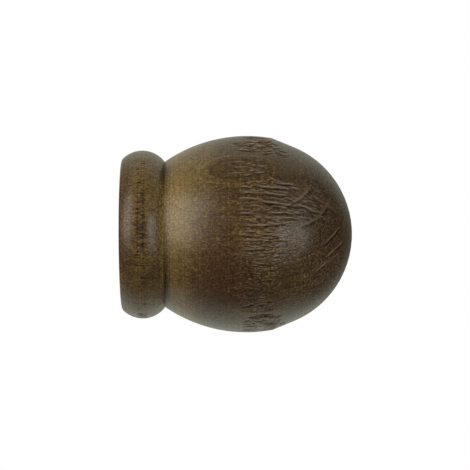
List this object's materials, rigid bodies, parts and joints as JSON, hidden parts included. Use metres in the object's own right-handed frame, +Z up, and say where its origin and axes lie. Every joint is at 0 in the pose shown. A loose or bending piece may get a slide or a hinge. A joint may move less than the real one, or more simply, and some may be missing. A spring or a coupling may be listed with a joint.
{
  "type": "curtain pole finial",
  "caption": "Turned wooden ball finial with a beaded collar and a blind socket that pushes on to the end of a round curtain pole.",
  "frame": {"origin": "centre of the socket's mouth, in the plane of the collar's flat back face", "axes": "+X along the pole's axis, out of the pole and towards the nose; +Z up; the pole comes in from -X"},
  "size_m": [0.0702, 0.06, 0.06],
  "materials": {
    "stained_wood": "dark stained, satin"
  },
  "bodies": {
    "root": {"finial": "stained_wood"}
  },
  "joints": []
}
